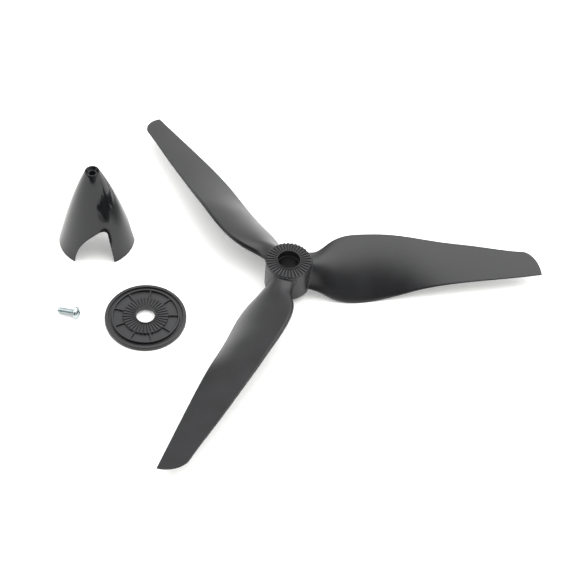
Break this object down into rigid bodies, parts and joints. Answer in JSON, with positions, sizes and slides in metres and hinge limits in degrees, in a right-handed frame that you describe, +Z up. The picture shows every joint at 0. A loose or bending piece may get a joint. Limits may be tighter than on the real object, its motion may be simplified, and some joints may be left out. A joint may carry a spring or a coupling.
{
  "type": "propeller",
  "caption": "Three-blade moulded aeroplane propeller with its spinner cone, serrated backplate and spinner screw, laid out loose.",
  "frame": {"origin": "centre of the layout's bounding box, on the surface that the pieces lie on", "axes": "+Z up, along the propeller's axis and out of its serrated rear face; +X to the right and +Y away from the viewer in the laid-out view"},
  "size_m": [0.231, 0.2092, 0.0463],
  "materials": {
    "black_nylon": "satin, fine grain",
    "black_gloss_plastic": "polished",
    "zinc_plated_steel": "bright zinc plating"
  },
  "bodies": {
    "propeller": {"hub": "black_nylon", "blade_1": "black_nylon", "blade_2": "black_nylon", "blade_3": "black_nylon"},
    "spinner": {"spinner_cone": "black_gloss_plastic"},
    "backplate": {"backplate": "black_nylon"},
    "screw": {"screw": "zinc_plated_steel"}
  },
  "joints": [
    {"name": "spinner_lift", "type": "slide", "parent": "propeller", "child": "spinner", "axis": [0, 0, 1], "range_m": [0, 0.08]},
    {"name": "backplate_lift", "type": "slide", "parent": "propeller", "child": "backplate", "axis": [0, 0, 1], "range_m": [0, 0.08]},
    {"name": "screw_lift", "type": "slide", "parent": "propeller", "child": "screw", "axis": [0, 0, 1], "range_m": [0, 0.08]}
  ]
}
